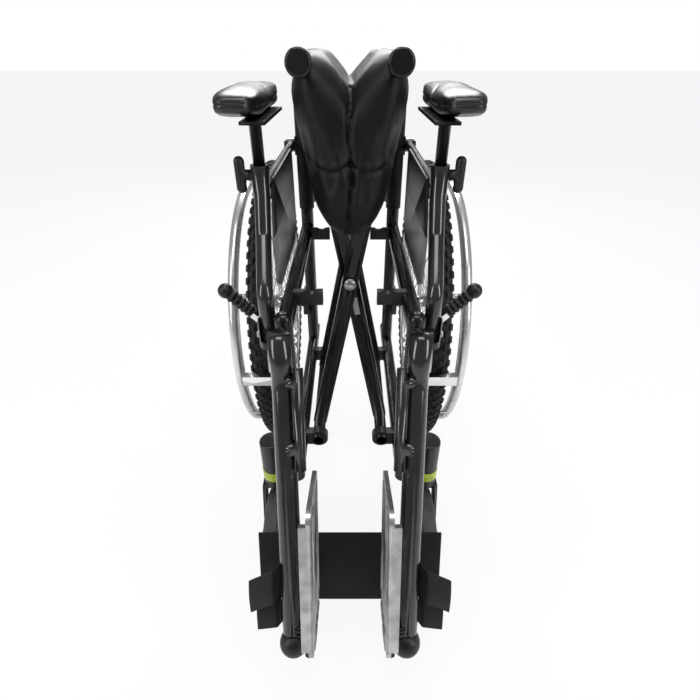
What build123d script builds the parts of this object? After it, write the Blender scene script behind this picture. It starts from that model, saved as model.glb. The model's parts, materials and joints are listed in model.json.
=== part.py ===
"""Folding self-propelled wheelchair, shown folded.

Frame: +Z up, front towards -Y, origin on the floor under the middle of the whole chair.
Sizes are in millimetres. Distances along Y are first measured from the rear axle, and the whole
chair is moved forward or back once, when a piece is written.
"""
from math import cos, radians, sin

from build123d import *
import os

os.makedirs("parts", exist_ok=True)

# ---- driving dimensions -----------------------------------------------------------------------
# wheels
TYRE_R = 305.0  # 24 inch rear wheel
TYRE_W = 35.0
WHEEL_X = 160.0  # middle plane of a rear wheel, folded
RIM_R = 276.0  # seat of the tyre
RIM_DEPTH = 14.0
RIM_W = 24.0
HUB_R = 21.0
HUB_HALF = 26.0
SPOKES = 32
SPOKE_R = 1.2
AXLE_R = 6.0
HANDRIM_R = 262.0
HANDRIM_TUBE_R = 9.5
HANDRIM_OUT = 45.0  # from the wheel's middle plane
HANDRIM_TABS = 6
HANDRIM_TAB_R = 3.0
HANDRIM_SEAT_R = 269.5  # where the tabs meet the rim's side

# side frame
TUBE_R = 12.5
TUBE_WALL = 2.0
SOCKET_WALL = 1.6  # where a tube is reamed to take a pushed-in part
SOCKET_DEPTH = 120.0
FRAME_X = 90.0
POST_Y = 12.0
POST_TOP = 772.0
PIN_HOLE_R = 3.5
PIN_HOLE_DOWN = 15.0
UPPER_Z = 480.0
LOWER_Z = 195.0
UPRIGHT_Y = -410.0
UPRIGHT_LOW = 182.0
UPRIGHT_TOP = 492.0
RAIL_BACK = 70.0  # rear end of the lower rail

# cross brace
BRACE_HALF = 300.0  # centre pivot to either end
BRACE_X = 58.1  # end pivots, folded
BRACE_ARM_W = 25.0
BRACE_ARM_T = 15.0
BRACE_GAP = 3.0
BRACE_FRONT_Y = -290.0
BRACE_REAR_Y = -108.0
BRACE_TUBE_R = 11.0
BRACE_BOLT_R = 5.0
SEAT_FRONT = -330.0
SEAT_BACK = -5.0
CAP_R = 15.5
FOLD_OPEN = 30.84  # slope of the arms when the chair is open

# fits
RUN = 0.06  # radial clearance of a turning fit
CLEAR = 0.4  # between pieces that pass each other

# caster
CASTER_X = 126.0
CASTER_Y = -420.0
CASTER_R = 85.0
CASTER_W = 28.0
CASTER_TRAIL = 38.0
HOUSING_R = 19.0
HOUSING_LOW = 182.0
HOUSING_TOP = 278.0
STEM_R = 8.0
FORK_T = 5.0
FORK_W = 26.0

# hanger and footplate
HINGE_Y = -432.0
HANGER_Y = -458.0
HANGER_R = 15.0
HANGER_TOP = 500.0
HANGER_BEND = 430.0
HANGER_FOOT = (79.0, -632.0, 118.0)
LUG_Z = (345.0, 462.0)
LUG_T = 6.0
EYE_R = 9.0  # rounded end of a lug or an eye
HINGE_PIN_R = 4.0
BALL_R = 20.0
STAY_R = 7.0
PLATE_T = 6.0
PLATE_X = 50.0
PLATE_FRONT = -684.0
PLATE_BACK = -566.0
PLATE_H = 215.0
PLATE_CORNER = 14.0
PLATE_RIM = 12.0  # how far the front rim stands out
PLATE_LEAN = 20.0  # the plates and the calf strap lean back with the leg tubes
FLIP_X = 54.0
FLIP_Z = 122.0
FLIP_PIN_R = 5.0
KNUCKLE_R = 8.5

# armrest
ARM_X = 115.0
ARM_TUBE_R = 11.0
ARM_FRONT_Y = -390.0
ARM_LOW = 452.0
ARM_SLEEVE_Y = -300.0
ARM_BAR_Z = 640.0
ARM_BAR_R = 8.0
ARM_TOP = 668.0
ARM_PIN_R = 5.0
GUARD_X = 108.0
GUARD_T = 3.0
GUARD_LOW = 487.0
PAD_POST_R = 8.0
PAD_Z = 722.0
PAD_W = 62.0
PAD_L = 240.0
PAD_H = 34.0
PAD_X = 142.0
KNOB_Z = 655.0

# brake
BRAKE_Y = -335.0
BRAKE_Z = 408.0
BRAKE_PLATE_T = 5.0
SHOE_Z = 318.0
GRIP_R = 9.5

# cloth
CLOTH_T = 3.0
SEAT_CLOTH = 199.0  # from the seat rail's axis to the fold line
SEAT_CLOTH_OFF = 14.5  # from the seat rail's axis to the cloth's middle
BACK_CLOTH = 243.0
BACK_LOW = 520.0
BACK_TOP = 745.0
BACK_ANGLE = 72.0
STRAP_Y = -556.5
STRAP_LOW = 104.0
STRAP_H = 118.0
STRAP_END_X = 138.0
STRAP_TAB_X = 100.2  # outer face of the tab beside the leg tube
STRAP_TAB = 75.0
STRAP_SPLIT_X = 50.0

# ---- worked out -------------------------------------------------------------------------------
AXLE_Z = TYRE_R
FRONT_RUN = PLATE_FRONT - HANGER_FOOT[1] + PLATE_CORNER
FRONT_CORNER = PLATE_CORNER * (sin(radians(PLATE_LEAN)) - 1)
FRONT_REACH = HANGER_FOOT[1] + FRONT_RUN * cos(radians(PLATE_LEAN)) + FRONT_CORNER
AXLE_Y = -(FRONT_REACH + TYRE_R) / 2  # puts the chair's middle over the origin
PIVOT_RISE = (BRACE_HALF**2 - BRACE_X**2) ** 0.5
PIVOT_Z = LOWER_Z + PIVOT_RISE
SEAT_RAIL_Z = LOWER_Z + 2 * PIVOT_RISE
OPEN_RAIL_Z = LOWER_Z + 2 * BRACE_HALF * sin(radians(FOLD_OPEN))
TUBE_IN_R = TUBE_R - TUBE_WALL
SOCKET_R = TUBE_R - SOCKET_WALL
SIDES = (("left", -1), ("right", 1))


def save(piece, name):
    """Move a finished piece to the chair's own origin, label it and write it."""
    moved = piece.moved(Location((0, AXLE_Y, 0)))
    moved.label = name
    export_step(moved, f"parts/{name}.step")


def on_side(piece, s):
    """The right-hand piece itself, or its mirror image for the left."""
    return piece if s > 0 else mirror(piece, about=Plane.YZ)


def side_plane(x):
    """A plane across X: local x runs along +Y and local y along +Z."""
    return Plane(origin=(x, 0, 0), x_dir=(0, 1, 0), z_dir=(1, 0, 0))


def front_plane(y):
    """A plane across Y: local x runs along +X and local y along +Z. It faces the front."""
    return Plane(origin=(0, y, 0), x_dir=(1, 0, 0), z_dir=(0, -1, 0))


def rod(start, end, radius, mode=Mode.ADD):
    """A round bar between two points, added to or cut from the part being built."""
    run = Vector(*end) - Vector(*start)
    with BuildSketch(Plane(origin=start, z_dir=run)) as section:
        Circle(radius)
    extrude(section.sketch, amount=run.length, mode=mode)


def block(low, high, mode=Mode.ADD):
    """A box between two corners, in any order of x."""
    size = [abs(b - a) for a, b in zip(low, high)]
    middle = [(a + b) / 2 for a, b in zip(low, high)]
    with Locations(tuple(middle)):
        Box(*size, mode=mode)


def bent_bar(points, radius, bend):
    """A round bar along straight runs joined by arcs."""
    with BuildLine() as route:
        FilletPolyline(*points, radius=bend)
    with BuildSketch(Plane(origin=route.line @ 0, z_dir=route.line % 0)) as section:
        Circle(radius)
    sweep(section.sketch, path=route.line)


# ---- side frame -------------------------------------------------------------------------------
def back_post(s):
    """Rear tube: its open top is the socket of a push handle, with a cross hole for the bolt."""
    x = s * FRAME_X
    with BuildPart() as post:
        rod((x, POST_Y, LOWER_Z), (x, POST_Y, POST_TOP), TUBE_R)
        rod((x, POST_Y, LOWER_Z), (x, POST_Y, POST_TOP), TUBE_IN_R, Mode.SUBTRACT)
        rod((x, POST_Y, POST_TOP - SOCKET_DEPTH), (x, POST_Y, POST_TOP), SOCKET_R, Mode.SUBTRACT)
        rod((x, UPRIGHT_Y, LOWER_Z), (x, RAIL_BACK, LOWER_Z), TUBE_R, Mode.SUBTRACT)
        hole_z = POST_TOP - PIN_HOLE_DOWN
        rod((x, POST_Y - 20, hole_z), (x, POST_Y + 20, hole_z), PIN_HOLE_R, Mode.SUBTRACT)
    return post.part


def side_rails(s):
    """Upper rail from post to upright, and the lower rail, whose open rear end is a socket."""
    x = s * FRAME_X
    with BuildPart() as rails:
        for z, back in ((UPPER_Z, POST_Y), (LOWER_Z, RAIL_BACK)):
            rod((x, UPRIGHT_Y, z), (x, back, z), TUBE_R)
            rod((x, UPRIGHT_Y, z), (x, back, z), TUBE_IN_R, Mode.SUBTRACT)
        rod((x, RAIL_BACK - SOCKET_DEPTH, LOWER_Z), (x, RAIL_BACK, LOWER_Z), SOCKET_R, Mode.SUBTRACT)
        rod((x, POST_Y, UPPER_Z - 40), (x, POST_Y, UPPER_Z + 40), TUBE_R, Mode.SUBTRACT)
        rod((x, UPRIGHT_Y, UPRIGHT_LOW), (x, UPRIGHT_Y, UPPER_Z + 40), TUBE_R, Mode.SUBTRACT)
    return rails.part


def front_upright(s):
    """Front tube with its domed cap, and the two lugs and pins that the hanger hooks onto."""
    x = s * FRAME_X
    cap_top = UPRIGHT_TOP + TUBE_R - 0.5
    with BuildPart() as upright:
        rod((x, UPRIGHT_Y, UPRIGHT_LOW), (x, UPRIGHT_Y, UPRIGHT_TOP), TUBE_R)
        rod((x, UPRIGHT_Y, UPRIGHT_LOW), (x, UPRIGHT_Y, UPRIGHT_TOP), TUBE_IN_R, Mode.SUBTRACT)
        for z in LUG_Z:
            block((x - EYE_R, HINGE_Y, z), (x + EYE_R, UPRIGHT_Y - TUBE_R + 1.5, z + LUG_T))
            rod((x, HINGE_Y, z), (x, HINGE_Y, z + LUG_T), EYE_R)
            rod((x, HINGE_Y, z), (x, HINGE_Y, z + LUG_T + 14), HINGE_PIN_R)
        rod((x, UPRIGHT_Y, UPRIGHT_TOP), (x, UPRIGHT_Y, cap_top), TUBE_R)
        rim = upright.edges().filter_by(GeomType.CIRCLE).group_by(Axis.Z)[-1]
        fillet(rim, radius=TUBE_R * 0.8)
        rod((x, UPRIGHT_Y, UPRIGHT_TOP - 20), (x, UPRIGHT_Y, UPRIGHT_TOP), TUBE_IN_R)
    return upright.part


def caster_housing(s):
    """Bearing barrel of the caster with two webs that carry it on the front upright."""
    x = s * CASTER_X
    with BuildPart() as housing:
        rod((x, CASTER_Y, HOUSING_LOW), (x, CASTER_Y, HOUSING_TOP), HOUSING_R)
        for z in (HOUSING_LOW + 14, HOUSING_TOP - 26):
            block((s * FRAME_X, CASTER_Y - 2, z), (x, UPRIGHT_Y - 1, z + 12))
        rod((s * FRAME_X, UPRIGHT_Y, 0), (s * FRAME_X, UPRIGHT_Y, UPPER_Z), TUBE_R, Mode.SUBTRACT)
        rim = housing.edges().filter_by(GeomType.CIRCLE).group_by(Axis.Z)[-1]
        fillet(rim, radius=3)
        rod((x, CASTER_Y, HOUSING_LOW), (x, CASTER_Y, HOUSING_TOP - 12), STEM_R + RUN, Mode.SUBTRACT)
    return housing.part


def frame_fittings(s):
    """Axle receiver, axle, lower brace bearings and the saddles that the open seat rests in."""
    x_out = FRAME_X + TUBE_R
    with BuildPart() as fittings:
        block((s * (x_out - 6), -20, AXLE_Z - 24), (s * (x_out + 5), 34, AXLE_Z + 24))
        rod((s * x_out, 0, AXLE_Z), (s * (WHEEL_X - HUB_HALF - CLEAR), 0, AXLE_Z), 12)
        rod((s * x_out, 0, AXLE_Z), (s * (WHEEL_X + HUB_HALF + 5), 0, AXLE_Z), AXLE_R)
        rod((s * (WHEEL_X + HUB_HALF + CLEAR), 0, AXLE_Z), (s * (WHEEL_X + HUB_HALF + 6), 0, AXLE_Z), 10)
        rod((s * FRAME_X, POST_Y, LOWER_Z), (s * FRAME_X, POST_Y, POST_TOP), TUBE_R, Mode.SUBTRACT)
        for y in (BRACE_FRONT_Y - 37, BRACE_REAR_Y + 53):
            block((s * BRACE_X, y - 8, LOWER_Z - 14), (s * (FRAME_X - 4), y + 8, LOWER_Z + 14))
            rod((s * BRACE_X, y - 8, LOWER_Z), (s * BRACE_X, y + 8, LOWER_Z), 17)
        rod((s * FRAME_X, UPRIGHT_Y, LOWER_Z), (s * FRAME_X, RAIL_BACK, LOWER_Z), TUBE_R, Mode.SUBTRACT)
        brace_in_r = BRACE_TUBE_R + RUN
        rod((s * BRACE_X, UPRIGHT_Y, LOWER_Z), (s * BRACE_X, 0, LOWER_Z), brace_in_r, Mode.SUBTRACT)
        for y in (SEAT_FRONT + 9, SEAT_BACK - 35):
            block((s * (BRACE_X - 17), y - 6, UPPER_Z - 9), (s * (FRAME_X - 4), y + 6, UPPER_Z + 13))
        rod((s * FRAME_X, UPRIGHT_Y, UPPER_Z), (s * FRAME_X, POST_Y, UPPER_Z), TUBE_R, Mode.SUBTRACT)
        cup_r = TUBE_R + CLEAR
        rod((s * BRACE_X, UPRIGHT_Y, OPEN_RAIL_Z), (s * BRACE_X, 0, OPEN_RAIL_Z), cup_r, Mode.SUBTRACT)
    return fittings.part


def armrest_mounts(s):
    """Front cup, open to the front, that the armrest drops into, and its rear pivot elbow."""
    x = s * ARM_X
    mouth = ARM_TUBE_R + CLEAR
    cup_low = ARM_LOW - 12
    with BuildPart() as mounts:
        rod((x, ARM_FRONT_Y, cup_low), (x, ARM_FRONT_Y, ARM_LOW + 32), ARM_TUBE_R + 4)
        block((x, ARM_FRONT_Y - 8, cup_low), (s * FRAME_X, ARM_FRONT_Y + 8, ARM_LOW + 12))
        block((s * (FRAME_X - 20), UPRIGHT_Y - 20, cup_low), (s * FRAME_X, UPRIGHT_Y + 60, UPPER_Z), Mode.SUBTRACT)
        cup_floor = (x, ARM_FRONT_Y, ARM_LOW - CLEAR)
        rod(cup_floor, (x, ARM_FRONT_Y, UPPER_Z + 40), mouth, Mode.SUBTRACT)
        low = (x - mouth, ARM_FRONT_Y - 30, ARM_LOW - CLEAR)
        block(low, (x + mouth, ARM_FRONT_Y, UPPER_Z + 40), Mode.SUBTRACT)
        rod((s * FRAME_X, UPRIGHT_Y, UPRIGHT_LOW), (s * FRAME_X, UPRIGHT_Y, POST_TOP), TUBE_R, Mode.SUBTRACT)
        rod((s * FRAME_X, UPRIGHT_Y, UPPER_Z), (s * FRAME_X, POST_Y, UPPER_Z), TUBE_R, Mode.SUBTRACT)
        elbow_x = FRAME_X + TUBE_R
        elbow_low = (s * (elbow_x - 6), POST_Y - 12, ARM_BAR_Z - 16)
        block(elbow_low, (s * (elbow_x + 4), POST_Y + 12, ARM_BAR_Z + 16))
        pin_end = ARM_X + 12
        rod((s * elbow_x, POST_Y, ARM_BAR_Z), (s * pin_end, POST_Y, ARM_BAR_Z), ARM_PIN_R)
        rod((s * (pin_end - 3.5), POST_Y, ARM_BAR_Z), (s * pin_end, POST_Y, ARM_BAR_Z), 8)
        rod((s * FRAME_X, POST_Y, LOWER_Z), (s * FRAME_X, POST_Y, POST_TOP), TUBE_R, Mode.SUBTRACT)
    return mounts.part


def brake_bracket(s):
    """Plate clamped to the upper rail, with the pivot pin of the brake lever."""
    x = FRAME_X + TUBE_R + 0.5
    with BuildPart() as bracket:
        with BuildSketch(side_plane(s * x)) as outline:
            with Locations((BRAKE_Y, BRAKE_Z + 26)):
                RectangleRounded(38, 62, 8)
        extrude(outline.sketch, amount=s * BRAKE_PLATE_T)
        block((s * (FRAME_X + 2), BRAKE_Y - 14, UPPER_Z - 18), (s * (x + 1), BRAKE_Y + 14, UPPER_Z + 1))
        rod((s * FRAME_X, UPRIGHT_Y, UPPER_Z), (s * FRAME_X, POST_Y, UPPER_Z), TUBE_R, Mode.SUBTRACT)
        rod((s * x, BRAKE_Y, BRAKE_Z), (s * (x + 15), BRAKE_Y, BRAKE_Z), 5)
        rod((s * (x + 12), BRAKE_Y, BRAKE_Z), (s * (x + 16), BRAKE_Y, BRAKE_Z), 8)
    return bracket.part


# ---- rear wheel -------------------------------------------------------------------------------
def wheel_ring(s, profile_radius, cut_radius):
    """A ring about the axle with a round section, flat on the inside where it meets the rim."""
    with BuildPart() as ring:
        with BuildSketch(Plane.XY) as section:
            with Locations((s * WHEEL_X, TYRE_R - profile_radius)):
                Circle(profile_radius)
            with Locations((s * WHEEL_X, cut_radius / 2)):
                Rectangle(4 * profile_radius, cut_radius, mode=Mode.SUBTRACT)
        revolve(section.sketch, axis=Axis.X)
    return ring.part.moved(Location((0, 0, AXLE_Z)))


def wheel_rim(s):
    """Box-section rim with a rounded inside."""
    with BuildPart() as rim:
        with BuildSketch(Plane.XY) as section:
            with Locations((s * WHEEL_X, RIM_R - RIM_DEPTH / 2)):
                Rectangle(RIM_W, RIM_DEPTH)
            inner = section.vertices().group_by(Axis.Y)[0]
            chamfer(inner, length=RIM_DEPTH * 0.4)
        revolve(section.sketch, axis=Axis.X)
    return rim.part.moved(Location((0, 0, AXLE_Z)))


def wheel_hub(s):
    """Hub with two flanges and straight wire spokes to the rim."""
    x = s * WHEEL_X
    with BuildPart() as hub:
        rod((x - HUB_HALF, 0, 0), (x + HUB_HALF, 0, 0), HUB_R * 0.7)
        for side in (-1, 1):
            flange = x + side * (HUB_HALF - 6)
            rod((flange - 2, 0, 0), (flange + 2, 0, 0), HUB_R)
        rod((x - HUB_HALF, 0, 0), (x + HUB_HALF, 0, 0), AXLE_R + RUN, Mode.SUBTRACT)
        for i in range(SPOKES):
            turn = radians(360 * i / SPOKES)
            flange = x + (-1) ** i * (HUB_HALF - 6)
            near = HUB_R - 2
            far = RIM_R - RIM_DEPTH - 0.3
            start = (flange, near * cos(turn), near * sin(turn))
            rod(start, (x, far * cos(turn), far * sin(turn)), SPOKE_R)
    return hub.part.moved(Location((0, 0, AXLE_Z)))


def handrim(s):
    """Push ring outside the wheel, on short tabs screwed to the rim."""
    x = s * (WHEEL_X + HANDRIM_OUT)
    rim_side = s * (WHEEL_X + RIM_W / 2)
    with BuildPart() as ring:
        with BuildSketch(Plane.XY) as section:
            with Locations((x, HANDRIM_R)):
                Circle(HANDRIM_TUBE_R)
        revolve(section.sketch, axis=Axis.X)
        for i in range(HANDRIM_TABS):
            turn = radians(360 * (i + 0.5) / HANDRIM_TABS)
            seat_y = HANDRIM_SEAT_R * cos(turn)
            seat_z = HANDRIM_SEAT_R * sin(turn)
            rod((rim_side, seat_y, seat_z), (x - s * 3, seat_y, seat_z), HANDRIM_TAB_R)
    return ring.part.moved(Location((0, 0, AXLE_Z)))


# ---- caster -----------------------------------------------------------------------------------
def caster_fork(s):
    """Bent flat-bar fork with its stem and the wheel's axle bolt."""
    x = s * CASTER_X
    inner = CASTER_W / 2 + 3
    crown = HOUSING_LOW - CLEAR
    wheel_y = CASTER_Y - CASTER_TRAIL
    with BuildPart() as fork:
        rod((x, CASTER_Y, crown - 2), (x, CASTER_Y, HOUSING_TOP - 13), STEM_R)
        block(
            (x - inner - FORK_T, CASTER_Y - FORK_W / 2, crown - FORK_T),
            (x + inner + FORK_T, CASTER_Y + FORK_W / 2, crown),
        )
        for side in (-1, 1):
            with BuildSketch(side_plane(x + side * inner)) as leg:
                with BuildLine():
                    Polyline(
                        (CASTER_Y + FORK_W / 2, crown),
                        (wheel_y + FORK_W / 2, CASTER_R - 4),
                        (wheel_y - FORK_W / 2, CASTER_R - 4),
                        (CASTER_Y - FORK_W / 2, crown),
                        close=True,
                    )
                make_face()
                with Locations((wheel_y, CASTER_R - 4)):
                    Circle(FORK_W / 2)
            extrude(leg.sketch, amount=side * FORK_T)
        reach = inner + FORK_T + 4
        rod((x - reach, wheel_y, CASTER_R), (x + reach, wheel_y, CASTER_R), AXLE_R)
        for side in (-1, 1):
            start = x + side * (inner + FORK_T)
            rod((start, wheel_y, CASTER_R), (start + side * 5, wheel_y, CASTER_R), 9)
    return fork.part


def caster_wheel(s):
    """Solid tyre and hub moulded in one, with rounded shoulders."""
    x = s * CASTER_X
    with BuildPart() as wheel:
        rod((x - CASTER_W / 2, 0, 0), (x + CASTER_W / 2, 0, 0), CASTER_R)
        rims = wheel.edges().filter_by(GeomType.CIRCLE)
        fillet(rims, radius=CASTER_W * 0.3)
        for side in (-1, 1):
            face = x + side * CASTER_W / 2
            with BuildSketch(side_plane(face)) as dish:
                Circle(CASTER_R * 0.68)
                Circle(CASTER_R * 0.22, mode=Mode.SUBTRACT)
            extrude(dish.sketch, amount=-side * 6, mode=Mode.SUBTRACT)
        rod((x - CASTER_W, 0, 0), (x + CASTER_W, 0, 0), AXLE_R + RUN, Mode.SUBTRACT)
    return wheel.part.moved(Location((0, CASTER_Y - CASTER_TRAIL, CASTER_R)))


# ---- brake ------------------------------------------------------------------------------------
def brake_lever(s):
    """Cranked lever: an eye on the pivot, the shoe bar below and the shaft of the grip above."""
    inner = FRAME_X + TUBE_R + BRAKE_PLATE_T + 1.5
    outer = inner + BRAKE_PLATE_T
    shoe_y = -(TYRE_R**2 - (AXLE_Z - SHOE_Z) ** 2) ** 0.5 - 2
    with BuildPart() as lever:
        with BuildSketch(side_plane(s * inner)) as plate:
            with BuildLine():
                Polyline(
                    (BRAKE_Y - 11, BRAKE_Z + 16),
                    (BRAKE_Y + 11, BRAKE_Z + 16),
                    (BRAKE_Y + 12, BRAKE_Z - 8),
                    (shoe_y, SHOE_Z + 9),
                    (shoe_y, SHOE_Z - 9),
                    (shoe_y - 14, SHOE_Z - 9),
                    (BRAKE_Y - 12, BRAKE_Z - 8),
                    close=True,
                )
            make_face()
            with Locations((BRAKE_Y, BRAKE_Z)):
                Circle(5 + RUN, mode=Mode.SUBTRACT)
        extrude(plate.sketch, amount=s * BRAKE_PLATE_T)
        block(
            (s * inner, shoe_y - 14, SHOE_Z - 9),
            (s * (WHEEL_X + TYRE_W / 2 + 8), shoe_y, SHOE_Z + 9),
        )
        with BuildSketch(front_plane(BRAKE_Y + 9)) as shaft:
            with BuildLine():
                Polyline(
                    (s * inner, BRAKE_Z + 10),
                    (s * inner, BRAKE_Z + 22),
                    (s * (inner + 36), BRAKE_Z + 58),
                    (s * (inner + 42), BRAKE_Z + 52),
                    (s * outer, BRAKE_Z + 14),
                    (s * outer, BRAKE_Z + 10),
                    close=True,
                )
            make_face()
        extrude(shaft.sketch, amount=18)
    return lever.part


def brake_grip(s):
    """Ribbed rubber grip with a ball end, pushed onto the lever's shaft."""
    base = FRAME_X + TUBE_R + BRAKE_PLATE_T + 1.5 + 39.5
    start = Vector(s * base, BRAKE_Y, BRAKE_Z + 55.5)
    slope = Vector(s * 0.72, 0.04, 0.69).normalized()
    with BuildPart() as grip:
        rod(tuple(start), tuple(start + slope * 44), GRIP_R - 1)
        for i in range(5):
            rib = start + slope * (3 + 8 * i)
            rod(tuple(rib), tuple(rib + slope * 4.5), GRIP_R + 0.6)
        with Locations(tuple(start + slope * 50)):
            Sphere(GRIP_R + 2)
    return grip.part


# ---- hanger and footplate ---------------------------------------------------------------------
def hanger_tube(s):
    """Swing-away leg tube with the two eyes that sit on the upright's pins, and its inner stay."""
    x = s * FRAME_X
    foot = (s * HANGER_FOOT[0], HANGER_FOOT[1], HANGER_FOOT[2])
    with BuildPart() as hanger:
        bent_bar([(x, HANGER_Y, HANGER_TOP), (x, HANGER_Y, HANGER_BEND), foot], HANGER_R, 60)
        for z in LUG_Z:
            low = z + LUG_T + CLEAR
            block((x - EYE_R, HANGER_Y - 4, low), (x + EYE_R, HINGE_Y, low + 8))
            rod((x, HINGE_Y, low), (x, HINGE_Y, low + 8), EYE_R)
            rod((x, HINGE_Y, low), (x, HINGE_Y, low + 8), HINGE_PIN_R + RUN, Mode.SUBTRACT)
        start = Vector(s * 68, HANGER_Y - 6, 452)
        end = Vector(s * 65, HANGER_Y - 70, 330)
        rod(tuple(start), tuple(end), STAY_R)
        for point in (start * 0.85 + end * 0.15, start * 0.2 + end * 0.8):
            block((point.X, point.Y - 5, point.Z - 6), (s * (FRAME_X - 6), point.Y + 14, point.Z + 6))
    return hanger.part


def hanger_end(s):
    """The hanger's lower end, its slope downwards and the middle of its rubber ball."""
    foot = Vector(s * HANGER_FOOT[0], HANGER_FOOT[1], HANGER_FOOT[2])
    slope = (foot - Vector(s * FRAME_X, HANGER_Y, HANGER_BEND)).normalized()
    return foot, slope, foot + slope * (BALL_R * 0.8)


def hanger_plug(s):
    """Rubber ball that closes the hanger's lower end."""
    foot, slope, centre = hanger_end(s)
    with BuildPart() as plug:
        with Locations(tuple(centre)):
            Sphere(BALL_R)
        rod(tuple(foot - slope * 60), tuple(foot), BALL_R + 2, Mode.SUBTRACT)
    return plug.part


def leant(piece):
    """A piece drawn upright, leant back with the leg tubes about the flip pins' height."""
    return piece.rotate(Axis((0, HANGER_FOOT[1], FLIP_Z), (1, 0, 0)), -PLATE_LEAN)


def footplate_hinge(s):
    """Clamp block on the hanger and the long pin that the footplate flips on."""
    x = s * FLIP_X
    y = HANGER_FOOT[1]
    foot, slope, ball = hanger_end(s)
    with BuildPart() as clamp:
        block((x - s * 8, y - 12, FLIP_Z - 9), (s * (HANGER_FOOT[0] - 4), y + 14, FLIP_Z + 12))
        rod((x, PLATE_FRONT + 12, FLIP_Z), (x, PLATE_BACK - 12, FLIP_Z), FLIP_PIN_R)
    with BuildPart() as hinge:
        add(leant(clamp.part))
        rod(tuple(foot + slope * 30), tuple(foot - slope * 60), HANGER_R, Mode.SUBTRACT)
        with Locations(tuple(ball)):
            Sphere(BALL_R, mode=Mode.SUBTRACT)
    return hinge.part


def footplate(s):
    """Ribbed plate, flipped up, with a rim along its front and two knuckles on its lower edge."""
    x = s * PLATE_X
    y = HANGER_FOOT[1]
    middle = (PLATE_FRONT + PLATE_BACK) / 2
    with BuildPart() as plate:
        with BuildSketch(side_plane(x - PLATE_T / 2)) as outline:
            with Locations((middle, FLIP_Z + PLATE_H / 2)):
                RectangleRounded(PLATE_BACK - PLATE_FRONT, PLATE_H, PLATE_CORNER)
            with Locations((y + 1, FLIP_Z)):
                Rectangle(30, 32, mode=Mode.SUBTRACT)
            with Locations(*((middle - 12, FLIP_Z + height) for height in (70, 120, 170))):
                Circle(3, mode=Mode.SUBTRACT)
        extrude(outline.sketch, amount=PLATE_T)
        rim_low = (x, PLATE_FRONT, FLIP_Z + PLATE_CORNER + 2)
        block(rim_low, (x + s * PLATE_RIM, PLATE_FRONT + 8, FLIP_Z + PLATE_H - PLATE_CORNER - 2))
        for share in (0.0, 0.25, 0.75, 1.0):
            rib_y = PLATE_FRONT + 18 + share * (PLATE_BACK - PLATE_FRONT - 36)
            low = (x - s * PLATE_T / 2, rib_y - 2, FLIP_Z + 26)
            block(low, (x - s * (PLATE_T / 2 + 1.5), rib_y + 2, FLIP_Z + PLATE_H - 12))
        for start, end in ((PLATE_FRONT + 22, y - 14), (y + 16, PLATE_BACK - 18)):
            rod((s * FLIP_X, start, FLIP_Z), (s * FLIP_X, end, FLIP_Z), KNUCKLE_R)
        pin_ends = (s * FLIP_X, PLATE_FRONT - 5, FLIP_Z), (s * FLIP_X, PLATE_BACK + 5, FLIP_Z)
        rod(pin_ends[0], pin_ends[1], FLIP_PIN_R + RUN, Mode.SUBTRACT)
    return leant(plate.part)


# ---- armrest ----------------------------------------------------------------------------------
def armrest_frame(s):
    """Bent front tube, the bar back to the pivot pin and the sleeve of the pad's post."""
    x = s * ARM_X
    points = [
        (x, ARM_FRONT_Y, ARM_LOW),
        (x, ARM_FRONT_Y, ARM_LOW + 70),
        (x + s * 6, ARM_SLEEVE_Y - 24, ARM_BAR_Z - 62),
        (x + s * 6, ARM_SLEEVE_Y, ARM_BAR_Z - 8),
    ]
    with BuildPart() as arm:
        bent_bar(points, ARM_TUBE_R, 24)
        rod((x + s * 6, ARM_SLEEVE_Y, ARM_BAR_Z - 16), (x + s * 6, ARM_SLEEVE_Y, ARM_TOP), ARM_TUBE_R + 1.5)
        rod((x, ARM_SLEEVE_Y, ARM_BAR_Z), (x, POST_Y - 6, ARM_BAR_Z), ARM_BAR_R)
        rod((x - s * 8, POST_Y, ARM_BAR_Z), (x + s * 8, POST_Y, ARM_BAR_Z), 12)
        pin_start = (x - s * 20, POST_Y, ARM_BAR_Z)
        rod(pin_start, (x + s * 20, POST_Y, ARM_BAR_Z), ARM_PIN_R + RUN, Mode.SUBTRACT)
        post_low = ARM_BAR_Z - 40
        sleeve = (x + s * 6, ARM_SLEEVE_Y, post_low), (x + s * 6, ARM_SLEEVE_Y, ARM_TOP)
        rod(sleeve[0], sleeve[1], PAD_POST_R + RUN, Mode.SUBTRACT)
    return arm.part


def skirt_guard(s):
    """Thin arched plate between the armrest and the wheel, clipped under the bar."""
    with BuildPart() as guard:
        with BuildSketch(side_plane(s * (GUARD_X - GUARD_T / 2))) as outline:
            with BuildLine():
                Polyline(
                    (ARM_SLEEVE_Y - 22, GUARD_LOW + 18),
                    (ARM_SLEEVE_Y + 10, GUARD_LOW),
                    (-80, GUARD_LOW),
                    (-50, GUARD_LOW + 30),
                    (-50, ARM_BAR_Z + 6),
                    (ARM_SLEEVE_Y + 14, ARM_BAR_Z + 6),
                    (ARM_SLEEVE_Y - 22, ARM_BAR_Z - 70),
                    close=True,
                )
            make_face()
            fillet(outline.vertices(), radius=10)
        extrude(outline.sketch, amount=s * GUARD_T)
        bar_end = (s * ARM_X, POST_Y - 6, ARM_BAR_Z)
        rod((s * ARM_X, ARM_SLEEVE_Y - 60, ARM_BAR_Z), bar_end, ARM_BAR_R, Mode.SUBTRACT)
    return guard.part


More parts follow.
